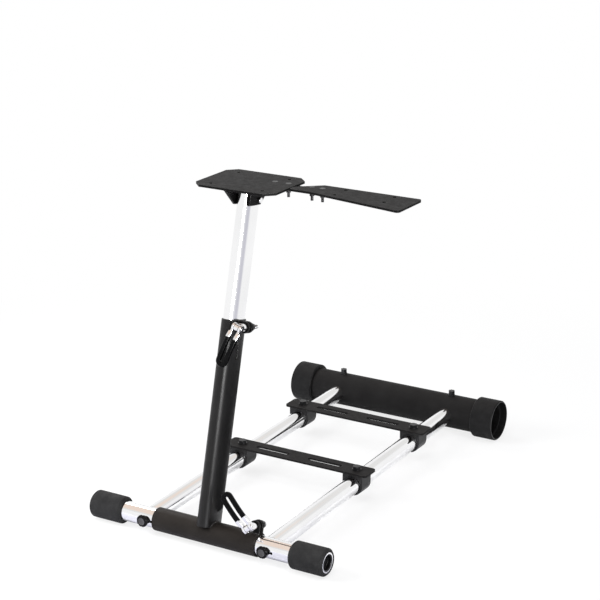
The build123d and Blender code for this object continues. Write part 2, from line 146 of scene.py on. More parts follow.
# Front feet: thick soft sleeves pushed on the tube's ends, with rounded rims and a fine matte skin.
# Black moulded plugs close the tube inside them.
merge_gap = 0.002 * mm
flat_angle = math.radians(0.5)
edge_angle = math.radians(25)


def soften(name, material, width_mm, steps, rubbed=None):
    """Stands for a CAD node with a merged copy of its mesh, with round edges that may look rubbed."""
    mesh = nodes[name].data.copy()
    for layer in ("custom_normal", "sharp_face", "sharp_edge"):
        if layer in mesh.attributes:
            mesh.attributes.remove(mesh.attributes[layer])
    work = bmesh.new()
    work.from_mesh(mesh)
    bmesh.ops.remove_doubles(work, verts=work.verts, dist=merge_gap)
    bmesh.ops.dissolve_limit(work, angle_limit=flat_angle, verts=work.verts, edges=work.edges)
    work.to_mesh(mesh)
    work.free()
    mesh.shade_smooth()
    mesh.materials.clear()
    mesh.materials.append(material)
    piece = bpy.data.objects.new(f"{name}_rounded", mesh)
    bpy.context.scene.collection.objects.link(piece)
    edges = piece.modifiers.new("edges", "BEVEL")
    edges.width = width_mm * mm
    edges.segments = steps
    edges.limit_method = "ANGLE"
    edges.angle_limit = edge_angle
    edges.harden_normals = True
    if rubbed:
        mesh.materials.append(rubbed)
        edges.material = 1
    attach(piece, body_of(nodes[name])[0])
    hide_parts(name)
    return piece


soft_foot = new_finish(
    "soft_foot", dark=(0.016, 0.016, 0.0168), light=(0.029, 0.029, 0.0298), tone_scale=60.0,
    roughness=(0.62, 0.85), rough_scale=300.0, grain_scale=900.0, grain_mm=0.06,
    Specular_IOR_Level=0.15,
)
moulded_black = new_finish(
    "moulded_black", dark=(0.006, 0.006, 0.007), light=(0.011, 0.011, 0.012), tone_scale=50.0,
    roughness=(0.3, 0.42), rough_scale=200.0, grain_scale=700.0, grain_mm=0.02,
    Specular_IOR_Level=0.25,
)
for side in ("left", "right"):
    soften(f"{side}_front_foot", soft_foot, width_mm=2.0, steps=3)
    soften(f"{side}_tube_plug", moulded_black, width_mm=0.5, steps=2)

# Rails: two chromed tubes, coped on the front cross tube and run into the rear one.
# A fluted black hand screw through the front cross tube pulls each rail tight.
wear(chrome, "left_rail", "right_rail")
# Painted highlight and shade: the knob's front face takes a lighter finish, and its rim a darker one.
knob_rim = new_finish(
    "knob_rim", dark=(0.003, 0.003, 0.0033), light=(0.006, 0.006, 0.0064), tone_scale=50.0,
    roughness=(0.3, 0.42), rough_scale=200.0, grain_scale=700.0, grain_mm=0.02,
    Specular_IOR_Level=0.1,
)
knob_face = new_finish(
    "knob_face", dark=(0.045, 0.044, 0.046), light=(0.070, 0.068, 0.071), tone_scale=80.0,
    roughness=(0.35, 0.5), rough_scale=200.0, grain_scale=700.0, grain_mm=0.02,
)
knob_flutes = 8
flute_depth = 1.1 * mm
flute_start = 8.5
flute_sharpness = 4
front_to_tube = 14.0 * mm
knob_steps = 120
# Turned profile: radius and height above the cross tube's front, in millimetres
knob_profile = [
    (6.4, -3.0), (6.4, 0.8), (8.6, 1.2), (10.2, 1.8), (10.8, 2.6), (10.8, 5.2), (10.3, 6.3), (9.2, 7.2),
    (7.8, 7.6), (6.6, 7.5), (6.0, 7.0), (0.0, 6.8),
]
bands = len(knob_profile) - 2
face_start = (bands - 1) * knob_steps
for side in ("left", "right"):
    low, high = (Vector(corner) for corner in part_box(f"{side}_rail_knob"))
    middle = Vector(((low.x + high.x) / 2, low.y + front_to_tube, (low.z + high.z) / 2))
    rings = []
    for radius, out in knob_profile[:-1]:
        for step in range(knob_steps):
            turn = 2 * math.pi * step / knob_steps
            flute = max(0.0, math.cos(knob_flutes * turn)) ** flute_sharpness
            reach = radius * mm - (flute_depth * flute if radius > flute_start else 0.0)
            rings.append(middle + Vector((reach * math.cos(turn), -out * mm, reach * math.sin(turn))))
    rings.append(middle + Vector((0.0, -knob_profile[-1][1] * mm, 0.0)))
    faces = []
    for band in range(bands):
        first, second = band * knob_steps, (band + 1) * knob_steps
        for step in range(knob_steps):
            after = (step + 1) % knob_steps
            faces.append((first + step, first + after, second + after, second + step))
    last = bands * knob_steps
    tip = len(rings) - 1
    faces += [(last + step, last + (step + 1) % knob_steps, tip) for step in range(knob_steps)]
    mesh = bpy.data.meshes.new(f"{side}_turned_knob")
    mesh.from_pydata(rings, [], faces)
    mesh.materials.append(knob_rim)
    mesh.materials.append(knob_face)
    # Painted highlight: the front face's rows take the lighter finish.
    for face in mesh.polygons:
        face.material_index = 1 if face.index >= face_start else 0
    mesh.shade_smooth()
    knob = bpy.data.objects.new(f"{side}_turned_knob", mesh)
    bpy.context.scene.collection.objects.link(knob)
    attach(knob, "base")
    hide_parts(f"{side}_rail_knob")

# Rear cross tube: a wide steel tube with a black powder coat, on open-ended soft sleeves.
# A black bolt down through its wall holds each rail; the sleeves' open ends are painted pale as a
# highlight.
tube_coat = new_finish(
    "tube_coat", dark=(0.0090, 0.0087, 0.0089), light=(0.0135, 0.0131, 0.0134), tone_scale=25.0,
    roughness=(0.52, 0.64), rough_scale=120.0, grain_scale=420.0, grain_mm=0.016,
    Specular_IOR_Level=0.08,
)
wear(tube_coat, "rear_cross_tube")
black_steel = new_finish(
    "black_steel", dark=(0.012, 0.012, 0.013), light=(0.03, 0.03, 0.032), tone_scale=80.0,
    roughness=(0.28, 0.45), rough_scale=200.0, grain_scale=600.0, grain_mm=0.01, Metallic=0.6,
)
rear_rubber = new_finish(
    "rear_rubber", dark=(0.007, 0.007, 0.0075), light=(0.013, 0.013, 0.0135), tone_scale=60.0,
    roughness=(0.5, 0.7), rough_scale=300.0, grain_scale=900.0, grain_mm=0.05,
    Specular_IOR_Level=0.12,
)
# Pale lip: a painted highlight for the sleeves' open ends.
rubbed_lip = new_finish(
    "rubbed_lip", dark=(0.05, 0.05, 0.052), light=(0.085, 0.085, 0.088), tone_scale=120.0,
    roughness=(0.4, 0.55), rough_scale=300.0, grain_scale=900.0, grain_mm=0.02,
)
lip_gap = 0.1 * mm
for side in ("left", "right"):
    sleeve = soften(f"{side}_rear_sleeve", rear_rubber, width_mm=0.9, steps=3)
    sleeve.data.materials.append(rubbed_lip)
    open_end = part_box(f"{side}_rear_sleeve")[side == "right"][0]
    # Painted highlight: the faces at each sleeve's open end take the pale lip finish.
    for face in sleeve.data.polygons:
        face.material_index = 1 if abs(face.center.x - open_end) < lip_gap else 0
    soften(f"{side}_rail_bolt", black_steel, width_mm=0.5, steps=2)

# Pedal bars: flat steel straps with long slots, black, level across the rails on moulded collars.
# A hex bolt with a washer holds each bar down on each collar.
crease_angle = math.radians(40)


def new_tree(name, inputs):
    """A geometry node tree with named inputs; returns the tree, its input node and its output node."""
    kinds = {float: "NodeSocketFloat", int: "NodeSocketInt", tuple: "NodeSocketVector"}
    tree = bpy.data.node_groups.new(name, "GeometryNodeTree")
    tree.interface.new_socket("Geometry", in_out="INPUT", socket_type="NodeSocketGeometry")
    for label, value in inputs.items():
        socket = tree.interface.new_socket(label, in_out="INPUT", socket_type=kinds[type(value)])
        socket.default_value = value
    tree.interface.new_socket("Finish", in_out="INPUT", socket_type="NodeSocketMaterial")
    tree.interface.new_socket("Geometry", in_out="OUTPUT", socket_type="NodeSocketGeometry")
    return tree, tree.nodes.new("NodeGroupInput"), tree.nodes.new("NodeGroupOutput")


def add_math(tree, operation, first, second):
    """A maths node of a tree on two sockets or numbers; returns its value socket."""
    node = tree.nodes.new("ShaderNodeMath")
    node.operation = operation
    for socket, value in zip(node.inputs, (first, second)):
        if isinstance(value, float):
            socket.default_value = value
        else:
            tree.links.new(value, socket)
    return node.outputs["Value"]


def close_tree(tree, given, made, geometry):
    """Ends a tree: instances are made real, and the finish is set."""
    real = tree.nodes.new("GeometryNodeRealizeInstances")
    finish = tree.nodes.new("GeometryNodeSetMaterial")
    tree.links.new(geometry, real.inputs["Geometry"])
    tree.links.new(real.outputs["Geometry"], finish.inputs["Geometry"])
    tree.links.new(given.outputs["Finish"], finish.inputs["Material"])
    tree.links.new(finish.outputs["Geometry"], made.inputs["Geometry"])


def grow(name, tree, points, lines, body, slot, place=None, **values):
    """Runs a tree on points and lines, and keeps the result in its place as a plain piece of a body."""
    seed = bpy.data.meshes.new(name)
    seed.from_pydata(points, lines, [])
    piece = bpy.data.objects.new(name, seed)
    bpy.context.scene.collection.objects.link(piece)
    modifier = piece.modifiers.new("grow", "NODES")
    modifier.node_group = tree
    for item in tree.interface.items_tree:
        label = item.name.replace(" ", "_")
        if item.in_out == "INPUT" and label in values:
            modifier[item.identifier] = values[label]
    bpy.context.view_layer.update()
    evaluated = piece.evaluated_get(bpy.context.evaluated_depsgraph_get())
    mesh = bpy.data.meshes.new_from_object(evaluated)
    piece.modifiers.clear()
    piece.data = mesh
    if place is not None:
        mesh.transform(place)
    mesh.shade_smooth()
    mesh.set_sharp_from_angle(angle=crease_angle)
    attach(piece, body)
    return piece


# Fasteners: at each point a washer, a head or nut with flat sides, and a shank that may stick out of it
fasteners, given, made = new_tree(
    "fasteners",
    {"Sides": 6, "Head Radius": 7.5 * mm, "Head Height": 5.3 * mm, "Washer Radius": 8.5 * mm,
     "Washer Height": 1.6 * mm, "Shank Radius": 4.0 * mm, "Tip": 0.0, "Turn": (0.0, 0.0, 0.0)},
)
round_sides = 24
washer_height = given.outputs["Washer Height"]
head_height = given.outputs["Head Height"]
head_top = add_math(fasteners, "ADD", washer_height, head_height)
shank_top = add_math(fasteners, "ADD", head_top, given.outputs["Tip"])
washer_middle = add_math(fasteners, "MULTIPLY", washer_height, 0.5)
half_head = add_math(fasteners, "MULTIPLY", head_height, 0.5)
head_middle = add_math(fasteners, "ADD", washer_height, half_head)
shank_middle = add_math(fasteners, "MULTIPLY", shank_top, 0.5)
stack = fasteners.nodes.new("GeometryNodeJoinGeometry")
for sides, radius, depth, middle in (
    (None, "Washer Radius", washer_height, washer_middle),
    ("Sides", "Head Radius", head_height, head_middle),
    (None, "Shank Radius", shank_top, shank_middle),
):
    drum = fasteners.nodes.new("GeometryNodeMeshCylinder")
    drum.inputs["Vertices"].default_value = round_sides
    if sides:
        fasteners.links.new(given.outputs[sides], drum.inputs["Vertices"])
    fasteners.links.new(given.outputs[radius], drum.inputs["Radius"])
    fasteners.links.new(depth, drum.inputs["Depth"])
    lift = fasteners.nodes.new("ShaderNodeCombineXYZ")
    fasteners.links.new(middle, lift.inputs["Z"])
    moved = fasteners.nodes.new("GeometryNodeTransform")
    fasteners.links.new(drum.outputs["Mesh"], moved.inputs["Geometry"])
    fasteners.links.new(lift.outputs["Vector"], moved.inputs["Translation"])
    fasteners.links.new(moved.outputs["Geometry"], stack.inputs["Geometry"])
spots = fasteners.nodes.new("GeometryNodeInstanceOnPoints")
fasteners.links.new(given.outputs["Geometry"], spots.inputs["Points"])
fasteners.links.new(stack.outputs["Geometry"], spots.inputs["Instance"])
fasteners.links.new(given.outputs["Turn"], spots.inputs["Rotation"])
close_tree(fasteners, given, made, spots.outputs["Instances"])

rubbed_edge = new_finish(
    "rubbed_edge", dark=(0.011, 0.0108, 0.011), light=(0.045, 0.044, 0.045), tone_scale=45.0,
    roughness=(0.3, 0.42), rough_scale=160.0, grain_scale=520.0, grain_mm=0.01,
    Specular_IOR_Level=0.25,
)
bar_bolts = []
for bar in ("front", "rear"):
    soften(f"{bar}_pedal_bar", tube_coat, width_mm=0.6, steps=2, rubbed=rubbed_edge)
    bar_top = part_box(f"{bar}_pedal_bar")[1][2]
    for side in ("left", "right"):
        collar = f"{bar}_{side}_rail_collar"
        soften(collar, moulded_black, width_mm=1.2, steps=3)
        low, high = (Vector(corner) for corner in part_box(collar))
        bar_bolts.append(((low.x + high.x) / 2, (low.y + high.y) / 2, bar_top))
grow(
    "pedal_bar_bolts", fasteners, bar_bolts, [], "base", "black_steel", Finish=black_steel, Tip=-0.6 * mm
)

# Pivot sleeve and post: black steel tubes, the post a crowned oval that leans back.
# The post is coped on the sleeve and welded along both its sides; the coat covers the beads.
lean = math.radians(14.0)
sleeve_r = 20.5 * mm
post_half = 14.0 * mm
side_r = 93.5 * mm
sleeve_low, sleeve_high = (Vector(corner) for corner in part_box("pivot_sleeve"))
post_frame = Matrix.Translation((sleeve_low + sleeve_high) / 2) @ Matrix(
    ((1, 0, 0), (0, math.cos(lean), math.sin(lean)), (0, -math.sin(lean), math.cos(lean)))
).to_4x4()


def chain(count):
    """The lines that join a number of points in a row."""
    return [(i, i + 1) for i in range(count - 1)]


def post_line(points):
    """Points of the post's frame (across, back, up the post) as points of the row, with their lines."""
    return [post_frame @ Vector(point) for point in points], chain(len(points))


# Weld bead: overlapping ripples of weld metal along lines
bead, given, made = new_tree("bead", {"Radius": 1.6 * mm, "Pitch": 1.3 * mm})
ripple_squash = 0.65
path = bead.nodes.new("GeometryNodeMeshToCurve")
ripples = bead.nodes.new("GeometryNodeResampleCurve")
ripples.mode = "LENGTH"
drop = bead.nodes.new("GeometryNodeMeshIcoSphere")
drop.inputs["Subdivisions"].default_value = 2
tangent = bead.nodes.new("GeometryNodeInputTangent")
facing = bead.nodes.new("FunctionNodeAlignRotationToVector")
spots = bead.nodes.new("GeometryNodeInstanceOnPoints")
spots.inputs["Scale"].default_value = (1.0, 1.0, ripple_squash)
bead.links.new(given.outputs["Geometry"], path.inputs["Mesh"])
bead.links.new(path.outputs["Curve"], ripples.inputs["Curve"])
bead.links.new(given.outputs["Pitch"], ripples.inputs["Length"])
bead.links.new(given.outputs["Radius"], drop.inputs["Radius"])
bead.links.new(tangent.outputs["Tangent"], facing.inputs["Vector"])
bead.links.new(ripples.outputs["Curve"], spots.inputs["Points"])
bead.links.new(drop.outputs["Mesh"], spots.inputs["Instance"])
bead.links.new(facing.outputs["Rotation"], spots.inputs["Rotation"])
close_tree(bead, given, made, spots.outputs["Instances"])

black_coat = new_finish(
    "black_coat", dark=(0.0105, 0.0102, 0.0104), light=(0.0150, 0.0146, 0.0149), tone_scale=25.0,
    roughness=(0.3, 0.37), rough_scale=120.0, grain_scale=420.0, grain_mm=0.016,
    Specular_IOR_Level=0.2,
)
bead_coat = new_finish(
    "bead_coat", dark=(0.010, 0.0095, 0.0095), light=(0.016, 0.015, 0.015), tone_scale=60.0,
    roughness=(0.22, 0.32), rough_scale=200.0, grain_scale=520.0, grain_mm=0.01,
)
sleeve_coat = new_finish(
    "sleeve_coat", dark=(0.0150, 0.0128, 0.0115), light=(0.0225, 0.0195, 0.0178), tone_scale=25.0,
    roughness=(0.38, 0.5), rough_scale=120.0, grain_scale=520.0, grain_mm=0.008,
    Specular_IOR_Level=0.1,
)
soften("pivot_sleeve", sleeve_coat, width_mm=0.5, steps=2)
soften("lower_post", black_coat, width_mm=0.5, steps=2)
seam_reach, seam_step = 16, 2
seam_out = 0.4 * mm
for side, sign in (("left", -1), ("right", 1)):
    seam = []
    for place in range(-seam_reach, seam_reach + 1, seam_step):
        back = place * mm
        bulge = side_r - math.sqrt(side_r**2 - back**2)
        seam.append((sign * (post_half - bulge + seam_out), back, math.sqrt(sleeve_r**2 - back**2)))
    grow(f"{side}_post_bead", bead, *post_line(seam), "post", "black_coat", Finish=bead_coat)

# Cam-lever clamps: welded ears, a chromed eye bolt with its cam seat and black nut, and a chromed fork
# with eccentric cheeks whose bent core carries a glossy black loop as its grip.
# Swung shut, the cheeks pull the bolt and close the slit tube between the ears.
plate_coat = new_finish(
    "plate_coat", dark=(0.0050, 0.0048, 0.0049), light=(0.0085, 0.0082, 0.0084), tone_scale=25.0,
    roughness=(0.42, 0.55), rough_scale=120.0, grain_scale=420.0, grain_mm=0.016,
    Specular_IOR_Level=0.06,
)
glossy_grip = new_finish(
    "glossy_grip", dark=(0.002, 0.002, 0.0023), light=(0.004, 0.004, 0.0044), tone_scale=70.0,
    roughness=(0.18, 0.26), rough_scale=150.0, grain_scale=300.0, grain_mm=0.005,
    Specular_IOR_Level=0.07,
)
nylon = new_finish(
    "nylon", dark=(0.4, 0.41, 0.42), light=(0.5, 0.51, 0.52), tone_scale=90.0,
    roughness=(0.35, 0.5), rough_scale=200.0, grain_scale=500.0, grain_mm=0.01,
)
clamp_chrome = new_finish(
    "clamp_chrome", dark=(0.8, 0.8, 0.81), light=(0.92, 0.92, 0.925), tone_scale=60.0,
    roughness=(0.07, 0.16), rough_scale=150.0, grain_scale=200.0, grain_mm=0.005, Metallic=1.0,
)
thread_steel = new_finish(
    "thread_steel", dark=(0.2, 0.2, 0.205), light=(0.34, 0.34, 0.345), tone_scale=120.0,
    roughness=(0.3, 0.45), rough_scale=200.0, grain_scale=300.0, grain_mm=0.005, Metallic=1.0,
)


def paint_crevice_shade(material, reach_mm, darkest):
    """Paints shade into a finish's colour, darker where it lies close to another face."""
    tree = material.node_tree
    shader = tree.nodes["Principled BSDF"]
    clean = shader.inputs["Base Color"].links[0].from_socket
    open_share = tree.nodes.new("ShaderNodeAmbientOcclusion")
    open_share.inputs["Distance"].default_value = reach_mm * mm
    open_share.samples = 8
    shade = tree.nodes.new("ShaderNodeMapRange")
    shade.inputs["From Min"].default_value = 0.35
    shade.inputs["From Max"].default_value = 0.85
    shade.inputs["To Min"].default_value = darkest
    shade.inputs["To Max"].default_value = 1.0
    tinted = tree.nodes.new("ShaderNodeMix")
    tinted.data_type = "RGBA"
    tinted.blend_type = "MULTIPLY"
    tinted.inputs["Factor"].default_value = 1.0
    tree.links.new(open_share.outputs["AO"], shade.inputs["Value"])
    tree.links.new(clean, tinted.inputs["A"])
    tree.links.new(shade.outputs["Result"], tinted.inputs["B"])
    tree.links.new(tinted.outputs["Result"], shader.inputs["Base Color"])


# Painted shade: the clamp chrome turns dark where it lies close to other faces.
paint_crevice_shade(clamp_chrome, reach_mm=3.0, darkest=0.1)

# Thread: one long turn of round wire, as fine as the thread's crests
thread, given, made = new_tree("thread", {"Turns": 16.0, "Radius": 3.0 * mm, "Pitch": 1.0 * mm})
crest_share = 0.36
coil = thread.nodes.new("GeometryNodeCurveSpiral")
coil.inputs["Resolution"].default_value = 24
wire = thread.nodes.new("GeometryNodeCurvePrimitiveCircle")
wire.inputs["Resolution"].default_value = 6
swept = thread.nodes.new("GeometryNodeCurveToMesh")
coil_height = add_math(thread, "MULTIPLY", given.outputs["Turns"], given.outputs["Pitch"])
crest = add_math(thread, "MULTIPLY", given.outputs["Pitch"], crest_share)
thread.links.new(given.outputs["Turns"], coil.inputs["Rotations"])
thread.links.new(given.outputs["Radius"], coil.inputs["Start Radius"])
thread.links.new(given.outputs["Radius"], coil.inputs["End Radius"])
thread.links.new(coil_height, coil.inputs["Height"])
thread.links.new(crest, wire.inputs["Radius"])
thread.links.new(coil.outputs["Curve"], swept.inputs["Curve"])
thread.links.new(wire.outputs["Curve"], swept.inputs["Profile Curve"])
close_tree(thread, given, made, swept.outputs["Mesh"])

# Ring: a round wire bent to a closed ring
ring, given, made = new_tree("ring", {"Ring Radius": 4.3 * mm, "Wire Radius": 1.0 * mm})
hoop = ring.nodes.new("GeometryNodeCurvePrimitiveCircle")
hoop.inputs["Resolution"].default_value = 32
wire = ring.nodes.new("GeometryNodeCurvePrimitiveCircle")
wire.inputs["Resolution"].default_value = 10
swept = ring.nodes.new("GeometryNodeCurveToMesh")
ring.links.new(given.outputs["Ring Radius"], hoop.inputs["Radius"])
ring.links.new(given.outputs["Wire Radius"], wire.inputs["Radius"])
ring.links.new(hoop.outputs["Curve"], swept.inputs["Curve"])
ring.links.new(wire.outputs["Curve"], swept.inputs["Profile Curve"])
close_tree(ring, given, made, swept.outputs["Mesh"])

# Loop: a bar with rounded corners swept along a line
loop, given, made = new_tree(
    "loop", {"Bar Width": 7.8 * mm, "Bar Depth": 8.0 * mm, "Corner": 2.4 * mm}
)
path = loop.nodes.new("GeometryNodeMeshToCurve")
bar = loop.nodes.new("GeometryNodeCurvePrimitiveQuadrilateral")
corner = loop.nodes.new("GeometryNodeFilletCurve")
corner.mode = "POLY"
corner.inputs["Count"].default_value = 5
swept = loop.nodes.new("GeometryNodeCurveToMesh")
swept.inputs["Fill Caps"].default_value = True
loop.links.new(given.outputs["Geometry"], path.inputs["Mesh"])
loop.links.new(given.outputs["Bar Width"], bar.inputs["Width"])
loop.links.new(given.outputs["Bar Depth"], bar.inputs["Height"])
loop.links.new(bar.outputs["Curve"], corner.inputs["Curve"])
loop.links.new(given.outputs["Corner"], corner.inputs["Radius"])
loop.links.new(path.outputs["Curve"], swept.inputs["Curve"])
loop.links.new(corner.outputs["Curve"], swept.inputs["Profile Curve"])
close_tree(loop, given, made, swept.outputs["Mesh"])

# Lever lines, in the lever's frame: across on the hinge, along the grip, out of the clamp
grip_start = 18.2 * mm
grip_turn = 59.5 * mm
grip_side = 7.1 * mm
grip_steps = 8
bend_step = 12
grip_run = grip_turn - grip_start
grip_line = [(-grip_side, grip_start + step * grip_run / grip_steps, 0.0) for step in range(grip_steps)]
for bend in range(0, 181, bend_step):
    turn = math.radians(bend)
    grip_line.append((-grip_side * math.cos(turn), grip_turn + grip_side * math.sin(turn), 0.0))
for step in range(1, grip_steps + 1):
    grip_line.append((grip_side, grip_turn - step * grip_run / grip_steps, 0.0))
leg_side = 7.5 * mm
ferrule_start, ferrule_end = 8.6 * mm, 19.4 * mm
ferrule_line = [(sign * leg_side, up, 0.0) for sign in (-1, 1) for up in (ferrule_start, ferrule_end)]
bow_start = 9.0 * mm
bow_end = 70.0 * mm
bow_rise = 3.0 * mm
bow_lead = 0.7
bow_cuts = 16


def bow(piece, lever_frame):
    """Bows a straight lever piece a little outwards, most where the hand first takes hold."""
    to_lever = lever_frame.inverted()
    along, out = lever_frame.to_3x3().col[1], lever_frame.to_3x3().col[2]
    work = bmesh.new()
    work.from_mesh(piece.data)
    for cut in range(1, bow_cuts):
        place = bow_start + (bow_end - bow_start) * cut / bow_cuts
        bmesh.ops.bisect_plane(
            work, geom=work.verts[:] + work.edges[:] + work.faces[:], plane_no=along,
            plane_co=lever_frame @ Vector((0.0, place, 0.0)),
        )
    for vert in work.verts:
        share = ((to_lever @ vert.co).y - bow_start) / (bow_end - bow_start)
        vert.co += out * bow_rise * math.sin(math.pi * min(max(share, 0.0), 1.0) ** bow_lead)
    work.to_mesh(piece.data)
    work.free()


stand_off = math.radians(11.0)
pin_place = 28.5 * mm
ear_face = 7.0 * mm
nut_end = 17.0 * mm
cap_ring = 3.3 * mm
cap_rise = 0.7
# Each clamp: its bolt's place across and up the post, bare thread and cap wire in mm, its lever's turn
for clamp, across, up, tail, turn, cap in (
    ("upper", 26.0, 355.5, 16.0, math.radians(194.0), 1.2),
    ("lower", 93.0, 31.0, 5.0, math.radians(-42.0), 3.2),
):
    for end in ("front", "rear"):
        soften(f"{clamp}_{end}_ear", plate_coat, width_mm=0.6, steps=2, rubbed=rubbed_edge)
    soften(f"{clamp}_cam_seat", clamp_chrome, width_mm=0.8, steps=3)
    soften(f"{clamp}_eye_bolt", clamp_chrome, width_mm=0.4, steps=2)
    soften(f"{clamp}_clamp_nut", black_steel, width_mm=0.4, steps=2)
    soften(f"{clamp}_lever_pin", clamp_chrome, width_mm=0.7, steps=3)
    fork = soften(f"{clamp}_lever_fork", clamp_chrome, width_mm=0.7, steps=3)
    hinge = Vector((math.cos(turn), 0.0, -math.sin(turn)))
    along = Vector((math.sin(turn), 0.0, math.cos(turn)))
    along = along * math.cos(stand_off) - Vector((0.0, 1.0, 0.0)) * math.sin(stand_off)
    lever_frame = post_frame @ Matrix.Translation((across * mm, -pin_place, up * mm)) @ Matrix(
        (hinge, along, hinge.cross(along))
    ).transposed().to_4x4()
    grip = grow(
        f"{clamp}_loop_grip", loop, grip_line, chain(len(grip_line)), f"{clamp}_lever", "black_grip",
        lever_frame, Finish=glossy_grip,
    )
    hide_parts(f"{clamp}_lever_grip")
    ferrules = grow(
        f"{clamp}_leg_ferrules", loop, ferrule_line, [(0, 1), (2, 3)], f"{clamp}_lever", "chrome",
        lever_frame, Finish=clamp_chrome, Bar_Width=7.4 * mm, Bar_Depth=9.4 * mm, Corner=1.8 * mm,
    )
    for piece in (fork, grip, ferrules):
        bow(piece, lever_frame)
    nut_place = Matrix.Translation((across * mm, nut_end, up * mm))
    nut_face = post_frame @ nut_place @ Matrix.Rotation(-math.pi / 2, 4, "X")
    cap_face = nut_face @ Matrix.Translation((0.0, 0.0, cap * cap_rise * mm))
    grow(
        f"{clamp}_bolt_thread", thread, [], [], "post", "chrome", nut_face,
        Turns=tail, Finish=thread_steel,
    )
    grow(
        f"{clamp}_nut_ring", ring, [], [], "post", "black_steel", cap_face,
        Finish=nylon, Ring_Radius=cap_ring, Wire_Radius=cap * mm,
    )
ear_foot = math.sqrt(sleeve_r**2 - ear_face**2)
lower_ear_sides = (84.0 * mm, 102.0 * mm)
upper_ear_ends = (346.5 * mm, 364.5 * mm)
for end, back in (("front", -ear_face), ("rear", ear_face)):
    lower_seam = [(across, back, ear_foot) for across in lower_ear_sides]
    upper_seam = [(post_half, back, up) for up in upper_ear_ends]
    for clamp, seam in (("lower", lower_seam), ("upper", upper_seam)):
        grow(
            f"{clamp}_{end}_ear_bead", bead, *post_line(seam), "post", "black_coat", Finish=bead_coat
        )

# Mast: a chromed oval tube that slides in the post, with black gussets welded on its sides up to the
# plate. A bolt with round chromed heads goes through both gussets.
wear(chrome, "mast_tube")
soften("head_bolt", chrome, width_mm=1.2, steps=4)
mast_half = 11.7 * mm
gusset_outer = 15.7 * mm
gusset_back = 47
plate_rise = 593.6 * mm
foot_drop = 36.0 * mm
foot_slope = 0.11
foot_low = 20
foot_out = 0.3 * mm
top_sink = 0.6 * mm
for side, sign, gusset_front in (("left", -1, 55), ("right", 1, 19)):
    soften(f"{side}_head_gusset", plate_coat, width_mm=0.5, steps=2, rubbed=rubbed_edge)
    foot = [
        (sign * (mast_half - (back * mm) ** 2 / (2 * side_r) + foot_out), back * mm,
         plate_rise - foot_drop + (back + foot_low) * foot_slope * mm)
        for back in range(-15, 14, 4)
    ]
    top = [
        (sign * gusset_outer, back * mm, plate_rise + back * mm * math.tan(lean) - top_sink)
        for back in (-gusset_front, gusset_back)
    ]
    grow(f"{side}_gusset_foot_bead", bead, *post_line(foot), "mast", "black_coat", Finish=bead_coat)
    grow(f"{side}_gusset_top_bead", bead, *post_line(top), "mast", "black_coat", Finish=bead_coat)

# Wheel plate, shifter arm and shifter plate: flat black steel, level, at the top of the mast.
# Flush bolts join the arm to both plates; their nuts and bare ends hang below the arm.
for name in ("wheel_plate", "shifter_arm", "shifter_plate"):
    soften(name, plate_coat, width_mm=0.6, steps=2, rubbed=rubbed_edge)
arm_low, arm_high = (Vector(corner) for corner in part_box("shifter_arm"))
plate_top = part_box("wheel_plate")[1][2]
arm_middle = (arm_low.y + arm_high.y) / 2
arm_bolts = [arm_low.x + place * mm for place in (16, 42, 87, 107)]
head_sink = 0.3 * mm
grow(
    "arm_bolt_heads", fasteners, [(x, arm_middle, plate_top - head_sink) for x in arm_bolts], [],
    "mast", "black_steel", Finish=black_steel, Sides=32, Head_Radius=5.0 * mm, Head_Height=0.3 * mm,
    Washer_Radius=4.9 * mm, Washer_Height=0.1 * mm, Shank_Radius=2.0 * mm, Tip=-0.2 * mm,
)
grow(
    "arm_bolt_nuts", fasteners, [(x, arm_middle, arm_low.z) for x in arm_bolts], [],
    "mast", "black_steel", Finish=black_steel, Head_Radius=4.6 * mm, Head_Height=4.0 * mm,
    Washer_Radius=5.5 * mm, Washer_Height=1.0 * mm, Shank_Radius=2.4 * mm, Tip=8.0 * mm,
    Turn=(math.pi, 0.0, 0.0),
)

# Studio: a white floor without a horizon, white surroundings and soft lamps.
# A dark card and a grey strip right of the stand are painted reflections: they show only in its shiny
# pieces, and shape their edges.


def map_range(tree, value, start, end, low, high):
    """A smooth step of a tree from low to high between two values of a socket; returns its socket."""
    step = tree.nodes.new("ShaderNodeMapRange")
    step.interpolation_type = "SMOOTHSTEP"
    for label, number in (("From Min", start), ("From Max", end), ("To Min", low), ("To Max", high)):
        step.inputs[label].default_value = number
    tree.links.new(value, step.inputs["Value"])
    return step.outputs["Result"]


def new_ramp(tree, value, stops):
    """A colour ramp of a tree over a value, from (value, colour) stops; returns its colour socket."""
    start, end = stops[0][0], stops[-1][0]
    place = tree.nodes.new("ShaderNodeMapRange")
    place.inputs["From Min"].default_value = start
    place.inputs["From Max"].default_value = end
    ramp = tree.nodes.new("ShaderNodeValToRGB")
    while len(ramp.color_ramp.elements) < len(stops):
        ramp.color_ramp.elements.new(0.5)
    for element, (spot, colour) in zip(ramp.color_ramp.elements, stops):
        element.position = (spot - start) / (end - start)
        element.color = (*colour, 1.0)
    tree.links.new(value, place.inputs["Value"])
    tree.links.new(place.outputs["Result"], ramp.inputs["Fac"])
    return ramp.outputs["Color"]


def mix_shaders(tree, share, first, second):
    """Mixes two shader sockets of a tree by a share; returns the mixed socket."""
    mixed = tree.nodes.new("ShaderNodeMixShader")
    tree.links.new(share, mixed.inputs["Fac"])
    tree.links.new(first, mixed.inputs[1])
    tree.links.new(second, mixed.inputs[2])
    return mixed.outputs["Shader"]


def new_paint(name, mesh):
    """An empty material on a stage mesh; returns its tree and its surface socket."""
    paint = bpy.data.materials.new(name)
    paint.use_nodes = True
    paint.node_tree.nodes.clear()
    mesh.materials.append(paint)
    return paint.node_tree, paint.node_tree.nodes.new("ShaderNodeOutputMaterial").inputs["Surface"]


def measure(tree, vector):
    """The length of a vector socket of a tree."""
    length = tree.nodes.new("ShaderNodeVectorMath")
    length.operation = "LENGTH"
    tree.links.new(vector, length.inputs[0])
    return length.outputs["Value"]


